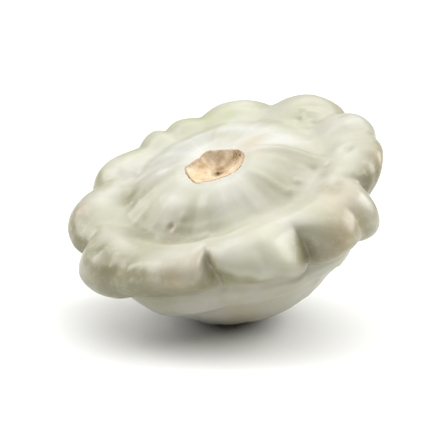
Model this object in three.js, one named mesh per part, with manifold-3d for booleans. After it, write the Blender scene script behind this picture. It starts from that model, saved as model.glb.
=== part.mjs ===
// A white pattypan squash, a scalloped summer squash, whole and with its stalk gone: one solid.
// Millimetres, +Z up. It lies tipped over on the side of its belly, on a small flat spot, and the
// middle of that spot is the origin.
//
// The fruit is first shaped upright about its own axis, stalk end up, with z = 0 at the level of
// its scalloped rim. Angles are in degrees, counter-clockwise seen from the stalk end.

import * as THREE from 'three'
import { mergeVertices } from 'three/addons/utils/BufferGeometryUtils.js'
import Module from 'manifold-3d'

// How it lies.
const LEAN = 24            // how far the fruit's axis leans away from upright
const LEAN_TOWARD = 228    // the direction it leans in, from +X towards +Y
const FLAT_DEPTH = 1       // how much of the belly the flat spot takes away, in mm

// Main sizes.
const NOTCH_RADIUS = 59          // usual radius of the rim in the notches between the lobes
const STALK_SCAR_RADIUS = 10.2   // about the middle of its blunt-cornered outline
const STALK_SCAR_DEPTH = 3.2
const BLOSSOM_SCAR_RADIUS = 5    // the small dry scar at the other end
const BLOSSOM_SCAR_DEPTH = 0.8
const SCAR_FLATNESS = 3          // power of the dish: higher is a flatter floor and steeper side

// How finely the skin is cut into facets.
const COLUMNS = 152        // around the axis
const STEPS = 2            // rows from one station of the section to the next
const SCAR_ROWS = 3        // rows from the edge of a scar to its middle

// The section, from the edge of the stalk scar over the rim to the edge of the blossom scar: a
// smooth curve through these stations. r and z are its place in a notch. At the top of a lobe it
// goes out by swell x (reach - notch radius) and up by rise. The others are its shares of the
// values of the same names that change around the axis.
const station = (name, r, z, shares = {}) => ({ name, r, z, ...shares })
const SECTION = [
  station('lip', STALK_SCAR_RADIUS, 16.5),
  station('collar', 16.5, 16.9),
  station('dome', 25, 15, { inner: 0.4, fill: 0.1 }),
  station('slope', 33.5, 10.8, { rise: 0.2, inner: 0.8, fill: 0.6 }),
  station('trough', 41, 7.6, { swell: 0.05, rise: 0.4, inner: 1, lift: 0.3, fill: 1 }),
  station('crest', 50, 8.8, {
    swell: 0.2, rise: 1.8, inner: 1, lift: 1, brow: 0.5, curl: 0.05, fill: 0.2,
  }),
  station('shoulder', 56.5, 5.6, {
    swell: 0.6, rise: 3, inner: 0.5, lift: 1, brow: 1, curl: 0.35, tuck: 0.2,
  }),
  station('rim', NOTCH_RADIUS, -1, { swell: 1, rise: 1, lift: 0.3, curl: 1, tuck: 0.3 }),
  station('under', 57.5, -6.5, { swell: 0.8, rise: -1, curl: 0.9, tuck: 1 }),
  station('groove', 52, -10.5, { swell: 0.25, rise: -0.8, curl: 0.5, tuck: 0.5, girth: 0.7 }),
  station('band', 51.5, -15, {
    swell: 0.1, rise: -0.3, curl: 0.35, tuck: 0.2, fold: 0.3, girth: 0.9,
  }),
  station('ledge', 49.3, -20.3, { swell: 0.05, curl: 0.1, fold: 1, girth: 1 }),
  station('fold', 46.8, -22.5, { fold: 1, girth: 0.7 }),
  station('turn', 41.2, -28.5, { fold: 0.3, girth: 0.2 }),
  station('belly', 31, -39),
  station('base', 17.5, -47.1),
  station('end', BLOSSOM_SCAR_RADIUS, -49.9),
]
const SLOPE = SECTION.findIndex(({ name }) => name === 'slope')
const CREST = SECTION.findIndex(({ name }) => name === 'crest')
const RIM = SECTION.findIndex(({ name }) => name === 'rim')
const TURN = SECTION.findIndex(({ name }) => name === 'turn')

// The lobes. from: angle of the notch where it starts; notch: radius of that notch; crease: how
// far up the lobes that notch goes; reach: radius at the lobe's top, which is the share `top` of
// the way along; round: powers of its two sides, where 2 is a plain arc and more is a fuller,
// blunter side. inner moves its trough and crest inwards when it is negative, and lift raises its
// crest.
const lobe = (from, notch, crease, reach, top, round, inner, lift) =>
  ({ from, notch, crease, reach, top, round, inner, lift })
const LOBES = [
  lobe(8, 63.5, 0.5, 65.3, 0.4, [2.2, 2.4], 0, 0),
  lobe(31, 60.7, 1, 66.7, 0.5, [3.2, 3.2], 0, -0.6),
  lobe(66, 60.2, 1.2, 64, 0.6, [3.4, 3.4], 0, -1.3),
  lobe(97, 59.8, 0.7, 61.2, 0.6, [2.4, 2.4], 0, -1.6),
  lobe(113, 61, 0.7, 62.6, 0.38, [2.4, 2.4], 0, -1.6),
  lobe(127, 60.2, 0.8, 64.8, 0.65, [2.4, 3.4], -1, -0.8),
  lobe(154, 60.2, 1.2, 65.5, 0.5, [2.6, 2.8], -1, 0),
  lobe(196, 59.8, 1, 67.2, 0.5, [2.6, 2], -3, 1.3),
  lobe(228, 64, 0.3, 63, 0.6, [2.4, 5], -4.5, 2.3),
  lobe(262, 54.5, 0.4, 64.8, 0.58, [2.1, 2.7], -4.5, 3),
  lobe(301, 57.6, 0.42, 67.2, 0.66, [2.8, 2.2], -2.5, -0.2),
  lobe(321, 65.3, 0.1, 66.3, 0.4, [2.2, 2.2], -2, 0),
  lobe(337, 57.6, 0.5, 65.6, 0.55, [3, 2.2], -1, -0.3),
]

// The values that change around the axis, in mm, at some angles: [angle, mm].
const AROUND = {}

// How far the shoulder of the rim stands out.
AROUND.brow = [
  [20, 0.5], [60, 0], [150, 0], [175, 0.8], [195, 0.8], [213, 1], [230, 0.4], [262, 0], [300, 0],
  [325, 1], [350, 2],
]

// How far the rim is curled up.
AROUND.curl = [
  [5, 4], [30, 1.5], [60, 0], [140, 0], [165, 1], [182, 3.2], [205, 1.8], [220, 2.5], [246, 8],
  [266, 9], [284, 4.6], [298, -2.8], [312, -0.8], [328, -3], [341, 4], [352, 6],
]

// How far the underside of the rim is tucked in.
AROUND.tuck = [
  [20, 1], [60, 0], [150, 0], [185, 3.5], [210, 1], [245, 3.4], [280, 4.6], [301, 5.5], [315, 3.5],
  [330, 0], [350, 4],
]

// How far up the fold in the belly lies.
AROUND.fold = [
  [30, 0], [190, 0], [225, 0.3], [245, 2.4], [262, 3], [278, 2.6], [300, 1.5], [330, 0],
]

// How far the band above the fold stands out.
AROUND.girth = [
  [10, 0], [60, 0], [195, 0], [220, -1.5], [245, 0], [290, 0], [325, -1.2], [345, -2],
]

// How far the trough inside the rim is filled in; below 0 it is deeper.
AROUND.fill = [
  [10, 1.2], [60, 1], [120, 0.8], [150, 0.2], [168, -0.2], [185, 0], [205, -0.9], [222, -0.8],
  [245, -1], [264, 0.4], [290, 1.5], [335, 1.5],
]

// Radius of the stalk scar, with the blunt corners that the stalk left: [angle, mm].
const STALK_EDGE = [
  [12, 11.8], [26, 11.6], [45, 10.3], [64, 9.4], [85, 9.6], [102, 11.1], [113, 10.5], [127, 9.5],
  [141, 10.1], [153, 11.2], [165, 12.3], [178, 11.6], [195, 11.3], [214, 11.5], [228, 12.2],
  [245, 10.4], [266, 10.1], [284, 10.1], [300, 10.4], [318, 11.1], [338, 11.2], [354, 11.4],
]

// Low ribs and furrows that run out from the stalk scar or down the belly. They go from one place
// to another, each a station number and an angle; height is in mm, below 0 for a furrow, and
// width is the half width in mm.
const rib = (fromStation, fromAngle, toStation, toAngle, height, width) =>
  ({ fromStation, fromAngle, toStation, toAngle, height, width })
const RIBS = [
  rib(0.2, 157, 4.5, 158, 0.45, 2.2),
  rib(0.3, 170, 4.6, 170, -0.45, 2.6),
  rib(0.3, 143, 4.4, 147, -0.35, 2.4),
  rib(0.4, 16, 5.2, 348, 0.7, 2),
  rib(0.4, 4, 4.8, 340, -0.4, 2.4),
  rib(0.6, 322, 4.4, 317, 0.5, 1.8),
  rib(0.6, 309, 3.8, 305, -0.3, 2),
  rib(0.7, 294, 4.2, 296, 0.3, 2),
  rib(0.6, 281, 3.6, 277, -0.2, 2.2),
  rib(0.6, 262, 4.4, 259, 0.25, 2.2),
  rib(0.6, 247, 3.8, 247, -0.25, 2.4),
  rib(0.6, 214, 4.5, 216, 0.15, 2.4),
  rib(0.6, 197, 4.5, 194, -0.15, 2.4),
  rib(0.4, 185, 4.5, 181, 0.2, 2),
  rib(0.4, 127, 4.5, 127, -0.4, 2.5),
  rib(0.4, 66, 4.5, 66, -0.5, 2.5),
  rib(0.4, 45, 4.5, 48, 0.4, 2.5),
  rib(0.4, 88, 4.5, 84, 0.4, 2.5),
  rib(5.6, 222, 9, 227, -1.5, 3.2),
  rib(5.2, 351, 8.2, 338, -0.8, 2.6),
  rib(5.2, 341, 7.2, 333, 0.7, 2.8),
  rib(5.3, 262.5, 9.6, 263, -1.6, 1.3),
  rib(5, 257, 8.5, 259, 0.8, 2.4),
  rib(6.4, 321, 8.6, 320, -0.5, 2.4),
  rib(6.2, 281, 7.8, 279, 0.7, 2),
  rib(6.7, 276, 8.4, 276, -0.7, 1.3),
  rib(4.1, 47, 5, 30, -0.5, 1.1),
  rib(4.4, 48, 5.3, 32, 0.5, 1),
  rib(4.7, 49, 5.7, 35, -0.45, 1.1),
  rib(4, 36, 4.7, 24, 0.4, 1),
  rib(10.5, 318, 14.5, 320, 0.6, 1.8),
  rib(10.5, 308, 14.5, 312, 0.6, 1.8),
  rib(10, 262, 15.5, 262, -0.5, 3),
  rib(10, 196, 15.5, 196, -0.5, 3),
  rib(10, 154, 15.5, 154, -0.5, 3),
  rib(10, 127, 15.5, 127, -0.5, 3),
  rib(10, 97, 15.5, 97, -0.5, 3),
  rib(10, 66, 15.5, 66, -0.5, 3),
  rib(10, 31, 15.5, 31, -0.5, 3),
]

// Bumps and pits in the skin: where, how high in mm (below 0 for a pit), and how wide in mm.
const mark = (at, angle, height, size) => ({ at, angle, height, size })
const MARKS = [
  mark(3.2, 230, -0.6, 1.3),
  mark(2.6, 238, 0.3, 1.8),
  mark(3.5, 181, -0.6, 1.9),
  mark(2.7, 177, -0.5, 2),
  mark(4, 149, -0.6, 2.5),
  mark(4.1, 162, 0.7, 3),
  mark(3.8, 347, -0.9, 2),
  mark(4.2, 347, -0.7, 1.8),
  mark(5, 356, -0.9, 2.2),
  mark(3.4, 331, 0.9, 1.8),
  mark(3.5, 321, 0.8, 2),
  mark(5.2, 327, -0.8, 5),
  mark(4.7, 43, -0.8, 1.6),
  mark(4.4, 40, -0.7, 1.6),
  mark(4.6, 31, -0.9, 1.8),
  mark(5.4, 23, -0.7, 2),
  mark(5.5, 214, 0.6, 2.8),
  mark(5.8, 220, -0.4, 2.2),
  mark(6, 214, 0.3, 2.4),
  mark(6.1, 232, 0.4, 2.4),
  mark(6.2, 226, -0.5, 2.8),
  mark(6.5, 238, -0.4, 3),
  mark(5.6, 203, -0.7, 3),
  mark(5.2, 196, 0.7, 3),
  mark(5.6, 177, 0.7, 2.6),
  mark(13.6, 238, 0.6, 2.5),
]

const RADIANS = Math.PI / 180
const ease = x => x * x * (3 - 2 * x)
const blend = (a, b, share) => a + (b - a) * share
const turnBetween = (a, b) => ((b - a) % 360 + 360) % 360
const apart = (a, b) => ((b - a) % 360 + 540) % 360 - 180

// A value that changes smoothly around the axis, through [angle, value] pairs in angle order.
function around(pairs, angle) {
  let last = pairs.length - 1
  for (let i = 0; i < pairs.length; i++) {
    if (pairs[i][0] <= angle) last = i
  }
  const [a, b] = [pairs[last], pairs[(last + 1) % pairs.length]]
  return blend(a[1], b[1], ease(turnBetween(a[0], angle) / turnBetween(a[0], b[0])))
}

// Where a lobe's top is, for the values that change from lobe to lobe.
const lobeLength = i => turnBetween(LOBES[i].from, LOBES[(i + 1) % LOBES.length].from)
const lobeTop = i => (LOBES[i].from + LOBES[i].top * lobeLength(i)) % 360
const byLobe = key => LOBES.map((one, i) => [lobeTop(i), one[key]]).sort((a, b) => a[0] - b[0])
AROUND.inner = byLobe('inner')
AROUND.lift = byLobe('lift')

// The rim at an angle: how far the lobe there swells (1 at its top, 0 in a notch), sharp and
// rounded off, how far out it reaches, and the radius and crease of the notches beside it.
function rimAt(angle) {
  let i = LOBES.length - 1
  for (let k = 0; k < LOBES.length; k++) {
    if (LOBES[k].from <= angle) i = k
  }
  const { from, reach, top, round } = LOBES[i]
  const next = LOBES[(i + 1) % LOBES.length]
  const share = turnBetween(from, angle) / lobeLength(i)
  const off = share < top ? (top - share) / top : (share - top) / (1 - top)
  const power = share < top ? round[0] : round[1]
  return {
    reach,
    sharp: 1 - off ** power,
    rounded: 1 - ease(off ** 1.2),
    notch: blend(LOBES[i].notch, next.notch, ease(share)),
    crease: blend(LOBES[i].crease, next.crease, ease(share)),
  }
}

// The section at an angle, as [r, z] for each station. Stations near the rim follow the notch in
// or out; those near the axis stay where they are. The notches are sharp at the rim and below it,
// and round off above it.
function sectionAt(angle) {
  const { reach, sharp, rounded, notch, crease } = rimAt(angle)
  const value = {}
  for (const key in AROUND) value[key] = around(AROUND[key], angle)
  const section = SECTION.map((s, k) => {
    const of = key => (s[key] ?? 0) * value[key]
    const still = SECTION[k <= RIM ? SLOPE : TURN].r
    const follow = THREE.MathUtils.clamp((s.r - still) / (NOTCH_RADIUS - still), 0, 1) ** (k < RIM ? 3 : 1)
    const swelled = blend(rounded, sharp, THREE.MathUtils.clamp((k - CREST) / (RIM - CREST), 0, 1))
    const risen = k < RIM ? 1 - crease * (1 - swelled) : swelled
    const swell = swelled * (s.swell ?? 0) * (reach - notch)
    return [
      s.r + (notch - NOTCH_RADIUS) * follow + swell + of('inner') + of('brow') - of('tuck') + of('girth'),
      s.z + risen * (s.rise ?? 0) + of('lift') + of('curl') + of('fold') + of('fill'),
    ]
  })
  section[0][0] = around(STALK_EDGE, angle)
  return section
}

// The smooth curve through the stations, at a place such as 2.5, half way from station 2 to 3. It
// gives the point and the outward direction there, both as [r, z].
function alongSection(section, at) {
  const i = Math.min(Math.floor(at), section.length - 2)
  const f = at - i
  const beyond = (a, b) => [2 * a[0] - b[0], 2 * a[1] - b[1]]
  const [p1, p2] = [section[i], section[i + 1]]
  const p0 = i > 0 ? section[i - 1] : beyond(p1, p2)
  const p3 = i + 2 < section.length ? section[i + 2] : beyond(p2, p1)
  const powers = [0, 1].map(c => [
    2 * p1[c],
    p2[c] - p0[c],
    2 * p0[c] - 5 * p1[c] + 4 * p2[c] - p3[c],
    3 * p1[c] - p0[c] - 3 * p2[c] + p3[c],
  ])
  const point = powers.map(([a, b, c, d]) => 0.5 * (a + b * f + c * f ** 2 + d * f ** 3))
  const [dr, dz] = powers.map(([, b, c, d]) => 0.5 * (b + 2 * c * f + 3 * d * f ** 2))
  const length = Math.hypot(dr, dz)
  return { point, out: [-dz / length, dr / length] }
}

const onAxis = ([r, z], angle) =>
  new THREE.Vector3(r * Math.cos(angle * RADIANS), r * Math.sin(angle * RADIANS), z)

for (const one of MARKS) {
  one.centre = onAxis(alongSection(sectionAt(one.angle), one.at).point, one.angle)
}

// How far the ribs and marks raise the skin at a place.
function relief(at, angle, r, point) {
  let height = 0
  for (const one of RIBS) {
    const share = (at - one.fromStation) / (one.toStation - one.fromStation)
    if (share <= 0 || share >= 1) continue
    const middle = one.fromAngle + apart(one.fromAngle, one.toAngle) * share
    const aside = apart(middle, angle) * RADIANS * r
    height += one.height * Math.sin(Math.PI * share) * Math.exp(-((aside / one.width) ** 2))
  }
  for (const one of MARKS) {
    height += one.height * Math.exp(-point.distanceToSquared(one.centre) / one.size ** 2)
  }
  return height
}

// One column of skin: from the middle of the stalk scar out and round to the blossom scar's
// middle. The two middle points are left out, as all the columns share them.
function column(angle) {
  const section = sectionAt(angle)
  const [lip, end] = [section[0], section[section.length - 1]]
  const dish = (edge, depth, share) =>
    onAxis([edge[0] * share, edge[1] + depth * (share ** SCAR_FLATNESS - 1)], angle)
  const points = []
  for (let row = 1; row < SCAR_ROWS; row++) {
    points.push(dish(lip, STALK_SCAR_DEPTH, row / SCAR_ROWS))
  }
  for (let row = 0; row <= (section.length - 1) * STEPS; row++) {
    const at = row / STEPS
    const { point, out } = alongSection(section, at)
    const height = relief(at, angle, point[0], onAxis(point, angle))
    points.push(onAxis([point[0] + height * out[0], point[1] + height * out[1]], angle))
  }
  for (let row = SCAR_ROWS - 1; row > 0; row--) {
    points.push(dish(end, -BLOSSOM_SCAR_DEPTH, row / SCAR_ROWS))
  }
  return points
}

// The whole skin, upright, as a closed surface.
function uprightSkin() {
  const columns = Array.from({ length: COLUMNS }, (_, i) => column(i * 360 / COLUMNS))
  const rows = columns[0].length
  const stalkMiddle = new THREE.Vector3(0, 0, SECTION[0].z - STALK_SCAR_DEPTH)
  const blossomMiddle = new THREE.Vector3(0, 0, SECTION[SECTION.length - 1].z + BLOSSOM_SCAR_DEPTH)
  const points = [...columns.flat(), stalkMiddle, blossomMiddle]
  const [stalk, blossom] = [points.length - 2, points.length - 1]
  const triangles = []
  for (let i = 0; i < COLUMNS; i++) {
    const [here, next] = [i * rows, (i + 1) % COLUMNS * rows]
    triangles.push(stalk, here, next)
    for (let row = 0; row < rows - 1; row++) {
      const [a, b, c, d] = [here + row, here + row + 1, next + row + 1, next + row]
      triangles.push(a, b, c, a, c, d)
    }
    triangles.push(blossom, next + rows - 1, here + rows - 1)
  }
  const geometry = new THREE.BufferGeometry().setFromPoints(points)
  geometry.setIndex(triangles)
  return geometry
}

const wasm = await Module()
wasm.setup()

function toSolid(geometry) {
  const merged = mergeVertices(geometry.deleteAttribute('normal').deleteAttribute('uv'))
  const vertProperties = new Float32Array(merged.attributes.position.array)
  const triVerts = new Uint32Array(merged.index.array)
  return new wasm.Manifold(new wasm.Mesh({ numProp: 3, vertProperties, triVerts }))
}

function toGeometry(solid) {
  const mesh = solid.getMesh()
  const geometry = new THREE.BufferGeometry()
  geometry.setAttribute('position', new THREE.BufferAttribute(mesh.vertProperties, 3))
  geometry.setIndex(new THREE.BufferAttribute(mesh.triVerts, 1))
  return geometry
}

// Leans the fruit over, takes the flat spot off its lowest side, and puts the middle of that spot
// at the origin.
function layDown(geometry) {
  const toward = LEAN_TOWARD * RADIANS
  const hinge = new THREE.Vector3(-Math.sin(toward), Math.cos(toward), 0)
  geometry.applyMatrix4(new THREE.Matrix4().makeRotationAxis(hinge, LEAN * RADIANS))
  geometry.computeBoundingBox()
  geometry.translate(0, 0, -geometry.boundingBox.min.z - FLAT_DEPTH)
  const floorSize = 4 * NOTCH_RADIUS
  const floor = new THREE.BoxGeometry(floorSize, floorSize, floorSize).translate(0, 0, -floorSize / 2)
  const cut = toGeometry(toSolid(geometry).subtract(toSolid(floor)))
  const spot = new THREE.Box3()
  const corner = new THREE.Vector3()
  for (let i = 0; i < cut.attributes.position.count; i++) {
    corner.fromBufferAttribute(cut.attributes.position, i)
    if (Math.abs(corner.z) < 1e-4) spot.expandByPoint(corner)
  }
  const middle = spot.getCenter(new THREE.Vector3())
  return cut.translate(-middle.x, -middle.y, 0)
}

const skin = new THREE.MeshStandardMaterial({ color: 0xdcdad0, roughness: 0.4, metalness: 0 })
const squash = new THREE.Mesh(layDown(uprightSkin()), skin)
squash.name = 'pattypan_squash'

const group = new THREE.Group()
group.add(squash)

export default group
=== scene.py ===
import math

import bpy
import numpy as np
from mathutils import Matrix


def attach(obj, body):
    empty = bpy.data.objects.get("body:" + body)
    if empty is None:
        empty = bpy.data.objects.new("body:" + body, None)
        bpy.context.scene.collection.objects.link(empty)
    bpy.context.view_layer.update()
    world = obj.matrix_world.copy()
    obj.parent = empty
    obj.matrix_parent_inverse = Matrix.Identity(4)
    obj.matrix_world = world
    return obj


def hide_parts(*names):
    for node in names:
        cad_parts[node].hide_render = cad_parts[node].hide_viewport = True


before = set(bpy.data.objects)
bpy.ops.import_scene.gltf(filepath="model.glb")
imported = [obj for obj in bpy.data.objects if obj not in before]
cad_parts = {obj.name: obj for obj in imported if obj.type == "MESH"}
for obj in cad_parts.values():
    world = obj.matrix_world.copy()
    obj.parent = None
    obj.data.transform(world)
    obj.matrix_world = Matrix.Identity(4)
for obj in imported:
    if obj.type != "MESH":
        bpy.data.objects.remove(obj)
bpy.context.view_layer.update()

bl_info = {
    "name": "Pattypan squash",
    "version": (1, 0, 0),
    "blender": (4, 5, 0),
    "location": "3D View > Sidebar > Squash",
    "description": "Builds a white pattypan squash lying on a pale studio floor",
    "category": "Add Mesh",
}

NODE = "pattypan_squash"
BODY = "root"
MM = 0.001                     # the tables below are in millimetres, Blender's mesh is in metres


# ---------------------------------------------------------------- the fruit's form
#
# The fruit is shaped upright about its own axis, stalk end up, with z = 0 at the level of its
# scalloped rim, then leaned over and laid on its flat spot. Angles are in degrees,
# counter-clockwise seen from the stalk end.

NOTCH_RADIUS = 59.0            # usual radius of the rim in the notches between the lobes
STALK_SCAR_RADIUS = 10.2       # between the five blunt corners that the stalk left
BLOSSOM_SCAR_RADIUS = 5.0      # the small dry scar at the other end

# The section, from the edge of the stalk scar over the rim to the edge of the blossom scar: name,
# r and z in a notch, then its shares of swell, rise, inner, lift, brow, curl, tuck, fold, girth and
# fill.
SECTION = [
    ("lip", STALK_SCAR_RADIUS, 16.5, 0, 0, 0, 0, 0, 0, 0, 0, 0, 0),
    ("collar", 16.5, 16.9, 0, 0, 0, 0, 0, 0, 0, 0, 0, 0),
    ("dome", 25.0, 15.0, 0, 0, 0.4, 0, 0, 0, 0, 0, 0, 0.1),
    ("slope", 33.5, 10.8, 0, 0.2, 0.8, 0, 0, 0, 0, 0, 0, 0.6),
    ("trough", 41.0, 7.6, 0.05, 0.4, 1.0, 0.3, 0, 0, 0, 0, 0, 1.0),
    ("crest", 50.0, 8.8, 0.2, 1.8, 1.0, 1.0, 0.5, 0.05, 0, 0, 0, 0.2),
    ("shoulder", 56.5, 5.6, 0.6, 3.0, 0.5, 1.0, 1.0, 0.35, 0.2, 0, 0, 0),
    ("rim", NOTCH_RADIUS, -1.0, 1.0, 1.0, 0, 0.3, 0, 1.0, 0.3, 0, 0, 0),
    ("under", 57.5, -6.5, 0.8, -1.0, 0, 0, 0, 0.9, 1.0, 0, 0, 0),
    ("groove", 52.0, -10.5, 0.25, -0.8, 0, 0, 0, 0.5, 0.5, 0, 0.7, 0),
    ("band", 51.5, -15.0, 0.1, -0.3, 0, 0, 0, 0.35, 0.2, 0.3, 0.9, 0),
    ("ledge", 49.3, -20.3, 0.05, 0, 0, 0, 0, 0.1, 0, 1.0, 1.0, 0),
    ("fold", 46.8, -22.5, 0, 0, 0, 0, 0, 0, 0, 1.0, 0.7, 0),
    ("turn", 41.2, -28.5, 0, 0, 0, 0, 0, 0, 0, 0.3, 0.2, 0),
    ("belly", 31.0, -39.0, 0, 0, 0, 0, 0, 0, 0, 0, 0, 0),
    ("base", 17.5, -47.1, 0, 0, 0, 0, 0, 0, 0, 0, 0, 0),
    ("end", BLOSSOM_SCAR_RADIUS, -49.9, 0, 0, 0, 0, 0, 0, 0, 0, 0, 0),
]
STATION = {row[0]: k for k, row in enumerate(SECTION)}
RIM = STATION["rim"]
CREST = STATION["crest"]

# The lobes: angle of the notch each starts at, that notch's radius and how far up the lobes it
# creases, the reach at its top, where its top is, the powers of its two sides, and its trough
# shift and crest lift. Three of these columns are looked up by number.
LOBE_TOP, LOBE_INNER, LOBE_LIFT = 4, 7, 8
LOBES = [
    (8, 63.5, 0.5, 65.3, 0.40, 2.2, 2.4, 0.0, 0.0),
    (31, 60.7, 1.0, 66.7, 0.50, 3.2, 3.2, 0.0, -0.6),
    (66, 60.2, 1.2, 64.0, 0.60, 3.4, 3.4, 0.0, -1.3),
    (97, 59.8, 0.7, 61.2, 0.60, 2.4, 2.4, 0.0, -1.6),
    (113, 61.0, 0.7, 62.6, 0.38, 2.4, 2.4, 0.0, -1.6),
    (127, 60.2, 0.8, 64.8, 0.65, 2.4, 3.4, -1.0, -0.8),
    (154, 60.2, 1.2, 65.5, 0.50, 2.6, 2.8, -1.0, 0.0),
    (196, 59.8, 1.0, 67.2, 0.50, 2.6, 2.0, -3.0, 1.3),
    (228, 64.0, 0.3, 63.0, 0.60, 2.4, 5.0, -4.5, 2.3),
    (262, 54.5, 0.4, 64.8, 0.58, 2.1, 2.7, -4.5, 3.0),
    (301, 57.6, 0.42, 67.2, 0.66, 2.8, 2.2, -2.5, -0.2),
    (321, 65.3, 0.1, 66.3, 0.40, 2.2, 2.2, -2.0, 0.0),
    (337, 57.6, 0.5, 65.6, 0.55, 3.0, 2.2, -1.0, -0.3),
]

# Powers that shape how the section takes up the lobes.
TOP_ROUNDING = 1.2             # how a lobe's top is rounded off above the rim
FOLLOW_ABOVE = 3               # how soon the section loses the notches' radii above the rim
FOLLOW_BELOW = 1               # and below it

# How far the shoulder of the rim stands out at some angles, in mm.
BROW = [
    (20, 0.5), (60, 0), (150, 0), (175, 0.8), (195, 0.8), (213, 1.0), (230, 0.4), (262, 0), (300, 0),
    (325, 1.0), (350, 2.0),
]

# How far the rim is curled up at some angles, in mm.
CURL = [
    (5, 4), (30, 1.5), (60, 0), (140, 0), (165, 1), (182, 3.2), (205, 1.8), (220, 2.5), (246, 8),
    (266, 9), (284, 4.6), (298, -2.8), (312, -0.8), (328, -3.0), (341, 4), (352, 6),
]

# How far the underside of the rim is tucked in at some angles, in mm.
TUCK = [
    (20, 1), (60, 0), (150, 0), (185, 3.5), (210, 1), (245, 3.4), (280, 4.6), (301, 5.5), (315, 3.5),
    (330, 0), (350, 4),
]

# How far up the fold in the belly lies at some angles, in mm.
FOLD = [(30, 0), (190, 0), (225, 0.3), (245, 2.4), (262, 3), (278, 2.6), (300, 1.5), (330, 0)]

# How far the band above the fold stands out at some angles, in mm.
GIRTH = [(10, 0), (60, 0), (195, 0), (220, -1.5), (245, 0), (290, 0), (325, -1.2), (345, -2)]

# How far the trough is filled in at some angles, in mm; below 0 it is deeper.
FILL = [
    (10, 1.2), (60, 1.0), (120, 0.8), (150, 0.2), (168, -0.2), (185, 0), (205, -0.9), (222, -0.8),
    (245, -1.0), (264, 0.4), (290, 1.5), (335, 1.5),
]

# The outline of the stalk scar, with the five blunt corners that the stalk left.
STALK_EDGE = [
    (12, 11.8), (26, 11.6), (45, 10.3), (64, 9.4), (85, 9.6), (102, 11.1), (113, 10.5), (127, 9.5),
    (141, 10.1), (153, 11.2), (165, 12.3), (178, 11.6), (195, 11.3), (214, 11.5), (228, 12.2),
    (245, 10.4), (266, 10.1), (284, 10.1), (300, 10.4), (318, 11.1), (338, 11.2), (354, 11.4),
]

# Low ribs and furrows: from station and angle, to station and angle, height, half width.
RIBS = [
    (0.2, 157, 4.5, 158, 0.45, 2.2),
    (0.3, 170, 4.6, 170, -0.45, 2.6),
    (0.3, 143, 4.4, 147, -0.35, 2.4),
    (0.4, 16, 5.2, 348, 0.7, 2.0),
    (0.4, 4, 4.8, 340, -0.4, 2.4),
    (0.6, 322, 4.4, 317, 0.5, 1.8),
    (0.6, 309, 3.8, 305, -0.3, 2.0),
    (0.7, 294, 4.2, 296, 0.3, 2.0),
    (0.6, 281, 3.6, 277, -0.2, 2.2),
    (0.6, 262, 4.4, 259, 0.25, 2.2),
    (0.6, 247, 3.8, 247, -0.25, 2.4),
    (0.6, 214, 4.5, 216, 0.15, 2.4),
    (0.6, 197, 4.5, 194, -0.15, 2.4),
    (0.4, 185, 4.5, 181, 0.2, 2.0),
    (0.4, 127, 4.5, 127, -0.4, 2.5),
    (0.4, 66, 4.5, 66, -0.5, 2.5),
    (0.4, 45, 4.5, 48, 0.4, 2.5),
    (0.4, 88, 4.5, 84, 0.4, 2.5),
    (5.6, 222, 9.0, 227, -1.5, 3.2),
    (5.2, 351, 8.2, 338, -0.8, 2.6),
    (5.2, 341, 7.2, 333, 0.7, 2.8),
    (5.3, 262.5, 9.6, 263, -1.6, 1.3),
    (5.0, 257, 8.5, 259, 0.8, 2.4),
    (6.4, 321, 8.6, 320, -0.5, 2.4),
    (6.2, 281, 7.8, 279, 0.7, 2.0),
    (6.7, 276, 8.4, 276, -0.7, 1.3),
    (4.1, 47, 5.0, 30, -0.5, 1.1),
    (4.4, 48, 5.3, 32, 0.5, 1.0),
    (4.7, 49, 5.7, 35, -0.45, 1.1),
    (4.0, 36, 4.7, 24, 0.4, 1.0),
    (10.5, 318, 14.5, 320, 0.6, 1.8),
    (10.5, 308, 14.5, 312, 0.6, 1.8),
    (10.0, 262, 15.5, 262, -0.5, 3.0),
    (10.0, 196, 15.5, 196, -0.5, 3.0),
    (10.0, 154, 15.5, 154, -0.5, 3.0),
    (10.0, 127, 15.5, 127, -0.5, 3.0),
    (10.0, 97, 15.5, 97, -0.5, 3.0),
    (10.0, 66, 15.5, 66, -0.5, 3.0),
    (10.0, 31, 15.5, 31, -0.5, 3.0),
]

# Bumps and pits: station, angle, height and width.
MARKS = [
    (3.2, 230, -0.6, 1.3),
    (2.6, 238, 0.3, 1.8),
    (3.5, 181, -0.6, 1.9),
    (2.7, 177, -0.5, 2.0),
    (4.0, 149, -0.6, 2.5),
    (4.1, 162, 0.7, 3.0),
    (3.8, 347, -0.9, 2.0),
    (4.2, 347, -0.7, 1.8),
    (5.0, 356, -0.9, 2.2),
    (3.4, 331, 0.9, 1.8),
    (3.5, 321, 0.8, 2.0),
    (5.2, 327, -0.8, 5.0),
    (4.7, 43, -0.8, 1.6),
    (4.4, 40, -0.7, 1.6),
    (4.6, 31, -0.9, 1.8),
    (5.4, 23, -0.7, 2.0),
    (5.5, 214, 0.6, 2.8),
    (5.8, 220, -0.4, 2.2),
    (6.0, 214, 0.3, 2.4),
    (6.1, 232, 0.4, 2.4),
    (6.2, 226, -0.5, 2.8),
    (6.5, 238, -0.4, 3.0),
    (5.6, 203, -0.7, 3.0),
    (5.2, 196, 0.7, 3.0),
    (5.6, 177, 0.7, 2.6),
    (13.6, 238, 0.6, 2.5),
]

# Small random unevenness of the rim: how many bumps and dents, between which stations, and their
# greatest height and least and greatest width in mm.
LUMPS = 220
LUMPS_BETWEEN = (3.2, 9.5)
LUMP_HEIGHT = 0.34
LUMP_WIDTH = (2.2, 5.5)

# How finely the mesh is cut.
COLUMNS = 450                  # around the axis
STEPS = 12                     # rows from one station to the next
STALK_ROWS = 22                # rows from the edge of the stalk scar to its middle
BLOSSOM_ROWS = 5


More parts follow.
